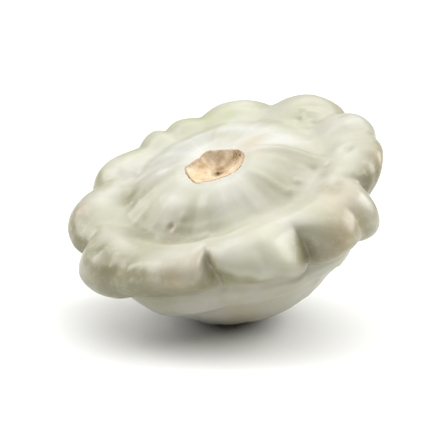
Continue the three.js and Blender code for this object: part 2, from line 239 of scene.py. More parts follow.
def ease(x):
    """A share from 0 to 1, made to leave 0 and reach 1 gently."""
    return x * x * (3 - 2 * x)


def apart(a, b):
    """The turn from angle a to angle b, between -180 and 180 degrees."""
    return (b - a + 180.0) % 360.0 - 180.0


def around(pairs, angle):
    """A value that changes smoothly around the axis, through (angle, value) pairs in angle order."""
    at = np.array([p[0] for p in pairs], float)
    value = np.array([p[1] for p in pairs], float)
    before = (np.searchsorted(at, angle, side="right") - 1) % len(at)
    after = (before + 1) % len(at)
    share = (angle - at[before]) % 360.0 / ((at[after] - at[before]) % 360.0)
    return value[before] + (value[after] - value[before]) * ease(share)


def by_lobe(column):
    """(angle, value) pairs at the lobes' tops, for a value that changes from lobe to lobe."""
    pairs = []
    for i, row in enumerate(LOBES):
        length = (LOBES[(i + 1) % len(LOBES)][0] - row[0]) % 360.0
        pairs.append(((row[0] + row[LOBE_TOP] * length) % 360.0, row[column]))
    return sorted(pairs)


def rim_at(angle):
    """How far the lobe at an angle swells, from 0 in a notch to 1, sharp and rounded off, its reach,
    and its notch's radius and crease."""
    start, radius, creased, reach, top, power_before, power_after, _, _ = np.array(LOBES, float).T
    here = (np.searchsorted(start, angle, side="right") - 1) % len(start)
    after = (here + 1) % len(start)
    length = (start[after] - start[here]) % 360.0
    share = (angle - start[here]) % 360.0 / length
    top = top[here]
    off = np.where(share < top, (top - share) / top, (share - top) / (1 - top))
    power = np.where(share < top, power_before[here], power_after[here])
    bulge = 1 - off ** power
    rounded = 1 - ease(off ** TOP_ROUNDING)
    notch = radius[here] + (radius[after] - radius[here]) * ease(share)
    crease = creased[here] + (creased[after] - creased[here]) * ease(share)
    return bulge, rounded, reach[here], notch, crease


def section_at(angle, form):
    """The r and z of every station, for an array of angles: stations x angles x 2."""
    bulge, rounded, reach, notch, crease = rim_at(angle)
    inner, lift = around(by_lobe(LOBE_INNER), angle), around(by_lobe(LOBE_LIFT), angle)
    brow, curl, tuck = around(BROW, angle), around(CURL, angle), around(TUCK, angle)
    fold, girth, fill = around(FOLD, angle), around(GIRTH, angle), around(FILL, angle)
    stations = np.zeros((len(SECTION), len(angle), 2))
    for k, (_, r, z, swell, rise, *shares) in enumerate(SECTION):
        (inner_share, lift_share, brow_share, curl_share, tuck_share, fold_share, girth_share,
         fill_share) = shares
        still = SECTION[STATION["slope" if k <= RIM else "turn"]][1]
        power = FOLLOW_ABOVE if k < RIM else FOLLOW_BELOW
        follow = np.clip((r - still) / (NOTCH_RADIUS - still), 0, 1) ** power
        sharpness = np.clip((k - CREST) / (RIM - CREST), 0, 1)
        swelled = rounded + (bulge - rounded) * sharpness
        risen = 1 - crease * (1 - swelled) if k < RIM else swelled
        stations[k, :, 0] = (r + (notch - NOTCH_RADIUS) * follow + swelled * swell * (reach - notch)
                             + inner * inner_share + brow * brow_share - tuck * tuck_share
                             + girth * girth_share)
        stations[k, :, 1] = (z + risen * rise + lift * lift_share + curl * curl_share
                             + fold * fold_share + fill * fill_share)
    stations[0, :, 0] = around(STALK_EDGE, angle) * form.scar_size
    return stations


def along_section(stations, at):
    """The smooth curve through the stations: places and outward directions, angles x len(at) x 2."""
    first, last = 2 * stations[:1] - stations[1:2], 2 * stations[-1:] - stations[-2:-1]
    knots = np.concatenate([first, stations, last])
    i = np.minimum(np.floor(at).astype(int), len(stations) - 2)
    f = (at - i)[:, None, None]
    p0, p1, p2, p3 = knots[i], knots[i + 1], knots[i + 2], knots[i + 3]
    a, b, c = p2 - p0, 2 * p0 - 5 * p1 + 4 * p2 - p3, 3 * p1 - p0 - 3 * p2 + p3
    place = 0.5 * (2 * p1 + a * f + b * f ** 2 + c * f ** 3)
    slope = 0.5 * (a + 2 * b * f + 3 * c * f ** 2)
    out = np.stack([-slope[..., 1], slope[..., 0]], -1)
    out /= np.linalg.norm(out, axis=-1, keepdims=True)
    return place.transpose(1, 0, 2), out.transpose(1, 0, 2)


def turned(r, z, angle):
    """Points in space from r, z and the angle around the axis."""
    rad = np.radians(angle)
    return np.stack([r * np.cos(rad), r * np.sin(rad), z + 0 * rad], -1)


def mark_place(at, angle, form):
    """The point of the smooth skin at a station and an angle."""
    place, _ = along_section(section_at(np.array([float(angle)]), form), np.array([float(at)]))
    return turned(place[0, 0, 0], place[0, 0, 1], np.float64(angle))


def lumps(form):
    """The small random bumps and dents, as rows like those of MARKS."""
    chance = np.random.default_rng(form.seed)
    return list(zip(
        chance.uniform(*LUMPS_BETWEEN, LUMPS),
        chance.uniform(0, 360, LUMPS),
        chance.uniform(-LUMP_HEIGHT, LUMP_HEIGHT, LUMPS),
        chance.uniform(*LUMP_WIDTH, LUMPS),
    ))


def relief(at, angle, place, points, form):
    """How far the ribs and marks raise the skin, angles x rows."""
    height = np.zeros(points.shape[:2])
    for from_at, from_angle, to_at, to_angle, rise, width in RIBS:
        share = (at - from_at) / (to_at - from_at)
        middle = from_angle + apart(from_angle, to_angle) * share
        aside = np.radians(apart(middle[None, :], angle[:, None])) * place[..., 0]
        fade = np.where((share > 0) & (share < 1), np.sin(np.pi * share), 0)
        height += form.rib_height * rise * fade * np.exp(-(aside / width) ** 2)
    for mark_at, mark_angle, rise, width in MARKS + lumps(form):
        centre = mark_place(mark_at, mark_angle, form)
        height += rise * np.exp(-((points - centre) ** 2).sum(-1) / width ** 2)
    return height


def lay_down(points, form):
    """Leans the upright fruit over and sets it on its flat spot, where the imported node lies."""
    x, y = -math.sin(form.lean_toward), math.cos(form.lean_toward)
    c, s = math.cos(form.lean), math.sin(form.lean)
    turn = np.array([
        [c + x * x * (1 - c), x * y * (1 - c), y * s],
        [x * y * (1 - c), c + y * y * (1 - c), -x * s],
        [-y * s, x * s, c],
    ])
    placed = points @ turn.T * MM
    placed[:, 2] -= placed[:, 2].min() + form.flat_depth
    spot = placed[placed[:, 2] <= 0]
    middle = (spot.min(0) + spot.max(0)) / 2
    placed -= [middle[0], middle[1], 0]
    placed[:, 2] = np.maximum(placed[:, 2], 0.0)
    return placed


# ---------------------------------------------------------------- materials

def linear(colour):
    """An sRGB hex colour such as e3e1cd as the linear RGBA that a shader takes."""
    channels = [int(colour[i:i + 2], 16) / 255 for i in (0, 2, 4)]
    channels = [c / 12.92 if c <= 0.04045 else ((c + 0.055) / 1.055) ** 2.4 for c in channels]
    return (*channels, 1.0)


def add_node(tree, kind, settings=None, links=None):
    """Adds a node, with its properties or socket values and what feeds its sockets."""
    node = tree.nodes.new(kind)
    for name, value in (settings or {}).items():
        if isinstance(name, str) and hasattr(node, name):
            setattr(node, name, value)
        else:
            node.inputs[name].default_value = value
    for name, source in (links or {}).items():
        tree.links.new(source, node.inputs[name])
    return node


def per_mm(size):
    """The scale of a pattern whose features are so many millimetres apart."""
    return 1 / (size * MM)


def new_material(name):
    """An empty node material, and its tree."""
    material = bpy.data.materials.new(name)
    material.use_nodes = True
    material.node_tree.nodes.clear()
    return material, material.node_tree


# How far apart the features of each pattern are, in mm. The pores of the rind lie about 0.2 mm
# apart, which is too fine to show, so they are drawn coarser.
RIND_CLOUDS = 24
RIND_WAX = 9
RIND_DENTS = 6
RIND_STREAKS = 3.4
RIND_PORES = 0.9
CORK_FIBRES = 5
CORK_BLOTCHES = 1.8
CORK_CRUMBS = 0.9

# What the rind's colour is built up from: the zone it lies in, its colour, the size of its mottle
# in mm, the values of the mottle between which it comes in, its least and greatest strength, and
# whether the mottle runs along the section, as the fruit grew.
RIND_LAYERS = [
    # partly pale rind, partly painted light on the upturned side of the dome
    ("dome", "pale", 26, 0.30, 0.60, 0.5, 1.0, False),
    # partly duller rind, partly painted shade on the near side of the dome
    ("wash", "wash", 18, 0.30, 0.60, 0.6, 1.0, False),
    ("streak", "rind_cool", 3.4, 0.40, 0.75, 0.0, 0.4, True),
    # painted shade in the furrows, the trough and the groove under the rim
    ("hollow", "hollow", 8, 0.30, 0.62, 0.45, 1.0, False),
    # painted shade on the front of the rim, where it turns under
    ("rim_front_shade", "olive_and_shade", 12, 0.30, 0.62, 0.5, 1.0, False),
    # partly olive blotches, partly painted shade on the lobes' ends and undersides
    ("olive_and_shade", "olive_and_shade", 7, 0.32, 0.62, 0.75, 1.0, False),
    ("green", "green", 7, 0.38, 0.66, 0.15, 1.0, False),
    ("tan", "tan", 11, 0.30, 0.65, 0.35, 1.0, False),
    ("rim", "rind_cool", 3.2, 0.50, 0.72, 0.0, 0.5, False),
    ("stain", "stain", 1.6, 0.30, 0.65, 0.4, 1.0, False),
]


def rind_material(colours):
    """Fresh white pattypan rind, grown smooth under a thin natural wax: satin, with light going a
    little way into the flesh, greener in patches and tan where it was rubbed, with painted shade in
    its hollows and under the rim and painted light on the upturned side of the dome."""
    material, tree = new_material("squash_rind_waxy")
    coords = add_node(tree, "ShaderNodeTexCoord").outputs["Object"]
    grown = add_node(tree, "ShaderNodeAttribute", {"attribute_name": "grown"}).outputs["Vector"]
    cloud = add_node(tree, "ShaderNodeTexNoise",
                     {"Scale": per_mm(RIND_CLOUDS), "Detail": 3.0}, {"Vector": coords})
    share = add_node(tree, "ShaderNodeMapRange", {"From Min": 0.36, "From Max": 0.66},
                     {"Value": cloud.outputs["Fac"]})
    tones = {"data_type": "RGBA", 6: linear(colours.rind), 7: linear(colours.rind_cool)}
    colour = add_node(tree, "ShaderNodeMix", tones, {0: share.outputs["Result"]})
    for zone, tone, size, low, high, least, most, along in RIND_LAYERS:
        where = add_node(tree, "ShaderNodeAttribute", {"attribute_name": zone})
        mottle = add_node(tree, "ShaderNodeTexNoise",
                          {"Scale": per_mm(size), "Detail": 4.0, "Roughness": 0.6},
                          {"Vector": grown if along else coords})
        broken = add_node(tree, "ShaderNodeMapRange",
                          {"From Min": low, "From Max": high, "To Min": least, "To Max": most},
                          {"Value": mottle.outputs["Fac"]})
        share = add_node(tree, "ShaderNodeMath", {"operation": "MULTIPLY"},
                         {0: where.outputs["Fac"], 1: broken.outputs["Result"]})
        tones = {"data_type": "RGBA", 7: linear(getattr(colours, tone))}
        colour = add_node(tree, "ShaderNodeMix", tones, {0: share.outputs[0], 6: colour.outputs[2]})
    wax = add_node(tree, "ShaderNodeTexNoise",
                   {"Scale": per_mm(RIND_WAX), "Detail": 3.0}, {"Vector": coords})
    sheen = add_node(tree, "ShaderNodeMapRange",
                     {"From Min": 0.3, "From Max": 0.7, "To Min": 0.3, "To Max": 0.42},
                     {"Value": wax.outputs["Fac"]})
    dents = add_node(tree, "ShaderNodeTexNoise",
                     {"Scale": per_mm(RIND_DENTS), "Detail": 2.0}, {"Vector": coords})
    streak = add_node(tree, "ShaderNodeTexNoise",
                      {"Scale": per_mm(RIND_STREAKS), "Detail": 2.0}, {"Vector": grown})
    pores = add_node(tree, "ShaderNodeTexNoise",
                     {"Scale": per_mm(RIND_PORES), "Detail": 2.0}, {"Vector": coords})
    bump = add_node(tree, "ShaderNodeBump", {"Strength": 0.3, "Distance": 0.4 * MM},
                    {"Height": dents.outputs["Fac"]})
    lines = add_node(tree, "ShaderNodeBump", {"Strength": 0.08, "Distance": 0.2 * MM},
                     {"Height": streak.outputs["Fac"], "Normal": bump.outputs[0]})
    fine = add_node(tree, "ShaderNodeBump", {"Strength": 0.12, "Distance": 0.1 * MM},
                    {"Height": pores.outputs["Fac"], "Normal": lines.outputs[0]})
    shader = add_node(tree, "ShaderNodeBsdfPrincipled", {
        "IOR": 1.45, "Subsurface Weight": 0.15, "Subsurface Radius": (1.0, 0.9, 0.55),
        "Subsurface Scale": 3 * MM, "Coat Weight": 0.2, "Coat Roughness": 0.25,
    }, {
        "Base Color": colour.outputs[2], "Roughness": sheen.outputs["Result"],
        "Normal": fine.outputs[0],
    })
    add_node(tree, "ShaderNodeOutputMaterial", {}, {"Surface": shader.outputs[0]})
    return material


def cork_material(colours):
    """Dried squash stalk, torn off and left to callus over: dry tan cork, smooth where it tore clean
    and crumbled into grains where it did not, darker in its pits, its gaps and along its edge,
    partly with painted shade."""
    material, tree = new_material("stalk_scar_cork_dried")
    coords = add_node(tree, "ShaderNodeTexCoord").outputs["Object"]
    fibre = add_node(tree, "ShaderNodeTexNoise",
                     {"Scale": per_mm(CORK_FIBRES), "Detail": 5.0, "Roughness": 0.65},
                     {"Vector": coords})
    share = add_node(tree, "ShaderNodeMapRange", {"From Min": 0.36, "From Max": 0.64},
                     {"Value": fibre.outputs["Fac"]})
    tones = {"data_type": "RGBA", 6: linear(colours.cork), 7: linear(colours.cork_light)}
    colour = add_node(tree, "ShaderNodeMix", tones, {0: share.outputs["Result"]})
    # partly darker cork, partly painted shade in the scar's pits and in the crack along its edge
    dark_cork_and_shade = add_node(tree, "ShaderNodeAttribute", {"attribute_name": "dark_cork_and_shade"})
    blotch = add_node(tree, "ShaderNodeTexNoise",
                      {"Scale": per_mm(CORK_BLOTCHES), "Detail": 4.0, "Roughness": 0.7},
                      {"Vector": coords})
    share = add_node(tree, "ShaderNodeMapRange",
                     {"From Min": 0.3, "From Max": 0.6, "To Min": 0.45, "To Max": 1.0},
                     {"Value": blotch.outputs["Fac"]})
    share = add_node(tree, "ShaderNodeMath", {"operation": "MULTIPLY"},
                     {0: dark_cork_and_shade.outputs["Fac"], 1: share.outputs["Result"]})
    tones = {"data_type": "RGBA", 7: linear(colours.cork_dark_and_shade)}
    colour = add_node(tree, "ShaderNodeMix", tones, {0: share.outputs[0], 6: colour.outputs[2]})
    grainy = add_node(tree, "ShaderNodeAttribute", {"attribute_name": "grainy"})
    crumbs = add_node(tree, "ShaderNodeTexVoronoi", {"Scale": per_mm(CORK_CRUMBS)},
                      {"Vector": coords})
    # the gaps between the crumbs are partly darker cork and partly painted shade
    gaps = add_node(tree, "ShaderNodeMapRange",
                    {"From Min": 0.35, "From Max": 0.62, "To Min": 0.0, "To Max": 0.8},
                    {"Value": crumbs.outputs["Distance"]})
    share = add_node(tree, "ShaderNodeMath", {"operation": "MULTIPLY"},
                     {0: grainy.outputs["Fac"], 1: gaps.outputs["Result"]})
    colour = add_node(tree, "ShaderNodeMix", tones, {0: share.outputs[0], 6: colour.outputs[2]})
    rough = add_node(tree, "ShaderNodeBump", {"Strength": 0.4, "Distance": 0.3 * MM},
                     {"Height": blotch.outputs["Fac"]})
    loose = add_node(tree, "ShaderNodeBump", {"Distance": 0.4 * MM, "invert": True}, {
        "Height": crumbs.outputs["Distance"], "Strength": grainy.outputs["Fac"],
        "Normal": rough.outputs[0],
    })
    shader = add_node(tree, "ShaderNodeBsdfPrincipled", {"IOR": 1.45, "Roughness": 0.85},
                      {"Base Color": colour.outputs[2], "Normal": loose.outputs[0]})
    add_node(tree, "ShaderNodeOutputMaterial", {}, {"Surface": shader.outputs[0]})
    return material


def floor_material(colours):
    """Matt white paper: even, with no gloss."""
    material, tree = new_material("studio_paper_matt")
    shader = add_node(tree, "ShaderNodeBsdfDiffuse", {"Color": linear(colours.floor)})
    add_node(tree, "ShaderNodeOutputMaterial", {}, {"Surface": shader.outputs[0]})
    return material


# ---------------------------------------------------------------- settings

def hex_colour(name, default, description):
    """A setting that holds an sRGB hex colour."""
    return bpy.props.StringProperty(name=name, default=default, description=description)


class SquashForm(bpy.types.PropertyGroup):
    """The sizes of the fruit that can be changed."""
    lean: bpy.props.FloatProperty(
        name="Lean", default=math.radians(24), subtype="ANGLE",
        description="How far the fruit's axis leans over")
    lean_toward: bpy.props.FloatProperty(
        name="Lean toward", default=math.radians(228), subtype="ANGLE",
        description="The direction it leans in, counted from +X")
    flat_depth: bpy.props.FloatProperty(
        name="Flat depth", default=1.0 * MM, unit="LENGTH",
        description="How much the flat spot takes off")
    scar_depth: bpy.props.FloatProperty(
        name="Scar depth", default=3.2 * MM, unit="LENGTH",
        description="Depth of the stalk scar's dish")
    blossom_depth: bpy.props.FloatProperty(
        name="Blossom scar depth", default=0.8 * MM, unit="LENGTH",
        description="Depth of the blossom scar")
    scar_size: bpy.props.FloatProperty(
        name="Scar size", default=1.0, min=0.0, max=2.0, subtype="FACTOR",
        description="Size of the stalk scar, as a share of its usual size")
    rib_height: bpy.props.FloatProperty(
        name="Rib height", default=1.0, min=0.0, max=2.0, subtype="FACTOR",
        description="How strong the ribs and furrows are")
    seed: bpy.props.IntProperty(
        name="Seed", default=7, description="Which of the random bumps and dents the rim has")


class SquashColours(bpy.types.PropertyGroup):
    """The sRGB hex colours of the surfaces."""
    rind: hex_colour("Rind", "bab8b0", "Cream white of the rind")
    rind_cool: hex_colour("Rind, cool", "aaaa95", "Greener white that the rind drifts to")
    # the hollows colour is painted shade in the furrows, the trough and under the rim
    hollow: hex_colour("Hollows", "84805a", "Rind in the furrows and under the rim")
    # the wash is partly duller rind and partly painted shade on the near side of the dome
    wash: hex_colour("Wash", "98967c", "Duller rind on the near side of the dome")
    # the olive colour is partly olive blotches and partly painted shade, on the lobes' ends and
    # undersides and on the front of the rim
    olive_and_shade: hex_colour("Olive", "7b7659", "Dull olive blotches on the ends of the lobes")
    # the tan on the belly is partly painted shade under the fruit
    green: hex_colour("Green", "a6ab80", "Green mottling near the rim")
    tan: hex_colour("Rubbed", "ad9c80", "Tan of rubbed and weathered rind")
    # the pale colour is partly pale rind around the stalk scar and partly painted light on the
    # upturned side of the dome
    pale: hex_colour("Pale", "d2d3d4", "Palest rind, around the stalk scar")
    stain: hex_colour("Stain", "7e7250", "Brown of pits and old scratches")
    cork: hex_colour("Cork", "b39973", "Dry cork of the stalk scar")
    cork_light: hex_colour("Cork, light", "d8c5a9", "Palest cork")
    # the dark cork is partly darker cork and partly painted shade in the pits, the crack along the
    # edge and the gaps between the crumbs
    cork_dark_and_shade: hex_colour("Cork, dark", "5c4124", "Cork in the pits and along the edge")
    floor: hex_colour("Floor", "e1e1e0", "Paper that it lies on")


class StageForm(bpy.types.PropertyGroup):
    """The camera and the lights."""
    camera_elevation: bpy.props.FloatProperty(
        name="Camera elevation", default=math.radians(17), subtype="ANGLE",
        description="How far above level the camera looks down from")
    camera_distance: bpy.props.FloatProperty(
        name="Camera distance", default=0.76, unit="LENGTH",
        description="From the camera to its target")
    camera_lens: bpy.props.FloatProperty(
        name="Lens", default=157.4, unit="CAMERA",
        description="Focal length on a sensor 36 mm wide")
    target: bpy.props.FloatVectorProperty(
        name="Target", default=(-0.0034, -0.0014, 0.0404), subtype="XYZ", unit="LENGTH",
        description="What the camera looks at")
    sky: bpy.props.FloatProperty(
        name="Fill light", default=0.1, description="Strength of the even light from all round")
    key: bpy.props.FloatProperty(
        name="Key light", default=3.8, description="Strength of the overhead softbox")


# ---------------------------------------------------------------- building

# Where the rind is coloured: station, angle, width in mm, and strength.
# The olive patches are partly olive mottling and partly painted shade on the ends and undersides of
# the lobes and on the belly.
OLIVE_AND_SHADE_PATCHES = [
    (6.4, 184, 11, 1.0), (6.8, 193, 8, 1.0), (7.3, 189, 9, 0.9), (6.0, 150, 3, 0.9),
    (6.2, 212, 8, 0.7), (5.7, 213, 7, 1.0), (6.1, 218, 9, 0.9), (6.0, 225, 7, 1.0),
    (5.7, 229, 4, 0.5), (6.7, 222, 8, 0.4), (7.6, 238, 7, 0.9), (7.7, 247, 8, 1.0),
    (7.6, 256, 6, 0.8), (3.8, 171, 5, 0.8), (3.8, 216, 9, 0.8), (3.6, 232, 9, 0.9),
    (3.5, 250, 9, 0.6), (2.7, 345, 12, 0.5), (2.8, 325, 12, 0.5), (6.6, 263, 3, 1.0),
    (6.9, 264, 4, 0.9), (7.5, 268, 5, 1.0), (7.6, 278, 4, 0.5), (7.5, 287, 5, 0.3),
    (6.8, 300, 7, 1.0), (7.5, 304, 8, 1.0), (7.4, 311, 7, 0.9), (7.7, 318, 7, 0.7),
    (6.4, 348, 7, 0.8), (7.0, 342, 8, 0.9), (6.3, 353, 6, 0.6), (6.3, 320, 5, 0.5),
    (4.8, 328, 4, 0.7), (5.2, 332, 3, 0.6), (4.4, 340, 4, 0.5), (14.3, 257, 13, 0.45),
]
# The wash patches are partly duller rind and partly painted shade on the near side of the dome.
WASH_AND_SHADE_PATCHES = [
    (3.0, 206, 11, 1.0), (2.7, 190, 12, 1.0), (2.5, 174, 9, 0.3), (3.7, 173, 7, 0.8),
    (2.4, 222, 13, 0.45), (2.0, 250, 13, 0.6), (2.4, 284, 13, 0.4), (2.5, 318, 14, 0.6),
    (2.6, 350, 13, 0.65), (3.7, 290, 11, 0.6), (3.6, 268, 9, 0.7), (3.6, 320, 10, 0.5),
    (4.8, 44, 14, 0.7), (4.9, 104, 9, 0.5), (3.6, 180, 9, 0.4), (4.6, 12, 12, 0.4),
    (4.8, 240, 8, 0.5), (1.5, 33, 6, 0.6), (1.3, 76, 8, 0.6), (1.0, 160, 8, 0.5),
]
GREEN_PATCHES = [
    (4.8, 93, 5, 0.9), (4.8, 85, 6, 0.9), (4.9, 74, 6, 0.8), (5.0, 104, 6, 0.7), (5.4, 133, 6, 0.7),
    (5.8, 150, 5, 0.7), (4.9, 348, 8, 0.4), (4.6, 40, 7, 0.5), (5.0, 118, 6, 0.5),
]
# The tan patches at stations 12 and 14, on the belly, are partly weathered rind and partly painted
# shade under the fruit.
TAN_PATCHES = [
    (5.5, 322, 9, 0.6), (6.3, 316, 9, 0.7), (6.8, 311, 8, 0.6), (3.2, 230, 1.6, 0.6),
    (5.6, 177, 4, 0.6), (6.3, 258, 7, 0.5), (7.0, 250, 9, 0.5), (12.4, 264, 14, 0.6),
    (12.1, 282, 12, 0.5), (6.6, 350, 6, 0.5), (0.9, 27, 7, 0.7), (14.2, 264, 15, 0.5),
]

# How pale the dome is at some angles: partly pale rind, partly painted light where it faces up.
DOME_PALE_AND_LIT = [
    (0, 0.2), (20, 0.7), (34, 0.45), (60, 0.7), (100, 0.5), (185, 0.2), (215, 0.1), (240, 0.1),
    (270, 0.3), (300, 0.2),
]

# How dark the painted shade in the trough around the dome is at some angles.
TROUGH_SHADE = [(20, 0.15), (150, 0.3), (200, 0.3), (240, 0.4), (262, 0.15), (340, 0.15)]

# How strong the painted shade on the front of the rim is at some angles.
FRONT_RIM_SHADE = [
    (10, 0.4), (60, 0.2), (150, 0.3), (180, 1.0), (205, 0.8), (225, 0.9), (247, 0.7), (259, 0.2),
    (270, 0.0), (289, 0.0), (302, 0.8), (345, 0.8),
]

# Where the stalk scar is dark: x and y in mm from its middle, width in mm, and strength.
# partly darker cork, partly painted shade in the scar's pits
DEEP_PATCHES = [
    (0.2, -1.0, 1.8, 1.0), (1.2, 1.5, 2.6, 0.65), (0.8, 6.4, 3.6, 0.5), (4.5, 2.5, 3.4, 0.45),
    (7.5, 4.5, 3.0, 0.3), (-2.0, 9.0, 3.0, 0.3),
]

# Where it is crumbled, in the same way.
GRAINY_PATCHES = [(9.6, 4.0, 3.0, 1.0), (0.3, -1.0, 2.2, 0.8)]

# The small lumps and dents of the torn cork: how many, their greatest height and their least and
# greatest width in mm.
CORK_LUMPS = 90
CORK_LUMP_HEIGHT = 0.35
CORK_LUMP_WIDTH = (0.7, 1.8)
CORK_FADE = 0.25               # the outer share of the scar in which they fade out
CORK_PIT_DEPTH = 0.9           # how far the dark pits are sunk, in mm

DISH_POWER = 3                 # the higher it is, the flatter both scars are in the middle
EDGE_RAGGED = 0.45             # how far the torn edge strays in and out, in mm
EDGE_SMOOTHING = [0.3, 0.4, 0.3]   # how much of its neighbours' straying a point of it takes on

# How dark the torn edge of the stalk scar is at some angles.
# partly brown cork, partly painted shade in the crack along the near side of the edge
EDGE_CRACK_SHADE = [(0, 0.5), (60, 0.4), (150, 0.3), (172, 1.0), (230, 1.0), (320, 1.0), (345, 0.6)]
EDGE_BROKEN = (0.5, 1.0)       # the share of that dark that each spot of it has, at random
EDGE_STRENGTH = 2.2            # how strong that dark is

# How dark the painted shade in the hollows of the rind is.
HOLLOW_SHADE_STRENGTH = 0.9          # of the furrows and of the groove under the rim
DEEPEST_CREASE = 1.5           # the crease, as in LOBES, at which a furrow would be darkest
FURROW_POWER = 1.5             # how soon a furrow fades out up the side of a lobe
GROOVE_SHADE = 0.45             # of the groove where the rim is neither curled up nor tucked in
GROOVE_SHADE_PER_MM = 0.1       # and how much darker for each mm that it is

# The stain in a pit: its width as a share of the pit's, and its strength.
STAIN_WIDTH = 0.6
STAIN_STRENGTH = 0.5

# Where some colours lie along the section: the station in the middle and how far they fade from it.
FURROW_BAND = (6.5, 1.6)
GROOVE_BAND = (8.3, 1.0)
TROUGH_BAND = (3.7, 0.7)
FRONT_BAND = (6.9, 1.15)
EDGE_BAND = (0.04, 0.055)

# Others begin or end along the section: the station where they are gone and over how many they fade.
DOME_END = (4.6, 2.4)
STREAKS_END = (7.5, 2.5)
RIM_START = (2.0, 2.5)

# The streaks along the section are drawn on a plain tube: its radius, and its length from one
# station to the next, in mm. The shorter it is the longer the streaks are.
STREAK_TUBE_RADIUS = 40
STREAK_TUBE_STEP = 1.2

FLOOR_HALF_WIDTH = 6.0         # in metres
SENSOR_WIDTH = 36              # in mm

# The softboxes: name, strength as a share of the key light, how wide they look from the fruit, and
# their tilt about X and Y, all in degrees.
SOFTBOXES = [
    ("softbox_overhead", 1.0, 95, -5, 0),
    ("softbox_left", 0.52, 40, -12, -58),
    ("softbox_right", 0.68, 40, -12, 58),
]


def patches(table, points, form):
    """How strong the nearest of some patches is at each point, from 0 to 1."""
    total = np.zeros(points.shape[:2])
    for at, angle, width, strength in table:
        centre = mark_place(at, angle, form)
        total = np.maximum(total, strength * np.exp(-((points - centre) ** 2).sum(-1) / width ** 2))
    return total


def flat_patches(table, points):
    """The same for patches given by x and y in the stalk scar."""
    total = np.zeros(points.shape[:2])
    for x, y, width, strength in table:
        away = (points[..., 0] - x) ** 2 + (points[..., 1] - y) ** 2
        total = np.maximum(total, strength * np.exp(-away / width ** 2))
    return total


def dish(edge, depth, rows, angle):
    """The hollow inside an edge, from next to the edge to next to the middle."""
    share = (np.arange(rows - 1, 0, -1) / rows)[None, :]
    z = edge[:, 1:2] + depth * (share ** DISH_POWER - 1)
    return turned(edge[:, 0:1] * share, z, np.repeat(angle[:, None], rows - 1, 1))


def cork_height(points, form):
    """How far the torn cork of the stalk scar stands up or is sunk, in mm."""
    chance = np.random.default_rng(form.seed)
    height = -CORK_PIT_DEPTH * flat_patches(DEEP_PATCHES, points)
    for _ in range(CORK_LUMPS):
        x, y = chance.uniform(-STALK_SCAR_RADIUS, STALK_SCAR_RADIUS, 2)
        rise = chance.uniform(-CORK_LUMP_HEIGHT, CORK_LUMP_HEIGHT)
        width = chance.uniform(*CORK_LUMP_WIDTH)
        away = (points[..., 0] - x) ** 2 + (points[..., 1] - y) ** 2
        height += rise * np.exp(-away / width ** 2)
    return height


def band(row, middle, width):
    """How strong a band around the fruit is at each row, from 0 to 1 in its middle."""
    return np.exp(-((row - middle) / width) ** 2)


def colour_zones(grid, row, angle, torn, form):
    """The share of each colour zone, from 0 to 1, at every point of the grid."""
    _, rounded, _, _, crease = [values[:, None] for values in rim_at(angle)]
    # Painted shade: the furrows darken with their crease, the groove under the rim the more the rim
    # is curled up and tucked in, and the trough by angle.
    furrow = crease / DEEPEST_CREASE * (1 - rounded) ** FURROW_POWER * band(row, *FURROW_BAND)
    bent = around(CURL, angle) + around(TUCK, angle)
    tucked = np.clip(GROOVE_SHADE + GROOVE_SHADE_PER_MM * bent, 0, 1)[:, None]
    groove = tucked * band(row, *GROOVE_BAND)
    trough = around(TROUGH_SHADE, angle)[:, None] * band(row, *TROUGH_BAND)
    # the torn edge: partly brown cork, partly painted shade in the crack between cork and rind
    edge = EDGE_STRENGTH * torn * band(row, *EDGE_BAND)
    stains = [(at, mark_angle, width * STAIN_WIDTH, STAIN_STRENGTH)
              for at, mark_angle, rise, width in MARKS if rise < 0]
    dome_share = np.clip((DOME_END[0] - row) / DOME_END[1], 0, 1)
    streak_share = np.clip((STREAKS_END[0] - row) / STREAKS_END[1], 0, 1)
    rim_share = np.clip((row - RIM_START[0]) / RIM_START[1], 0, 1)
    all_round = np.ones((COLUMNS, 1))
    return {
        "rim": all_round * ease(rim_share),
        "dome": around(DOME_PALE_AND_LIT, angle)[:, None] * ease(dome_share),
        "streak": all_round * ease(streak_share),
        "wash": patches(WASH_AND_SHADE_PATCHES, grid, form),
        "green": patches(GREEN_PATCHES, grid, form),
        "rim_front_shade": around(FRONT_RIM_SHADE, angle)[:, None] * band(row, *FRONT_BAND),
        "olive_and_shade": patches(OLIVE_AND_SHADE_PATCHES, grid, form),
        "tan": patches(TAN_PATCHES, grid, form),
        "hollow": np.clip(HOLLOW_SHADE_STRENGTH * (furrow + groove) + trough, 0, 1),
        "stain": patches(stains, grid, form),
        "dark_cork_and_shade": np.clip(flat_patches(DEEP_PATCHES, grid) * (row < 0) + edge, 0, 1),
        "grainy": np.where(row < 0, flat_patches(GRAINY_PATCHES, grid), 0),
    }


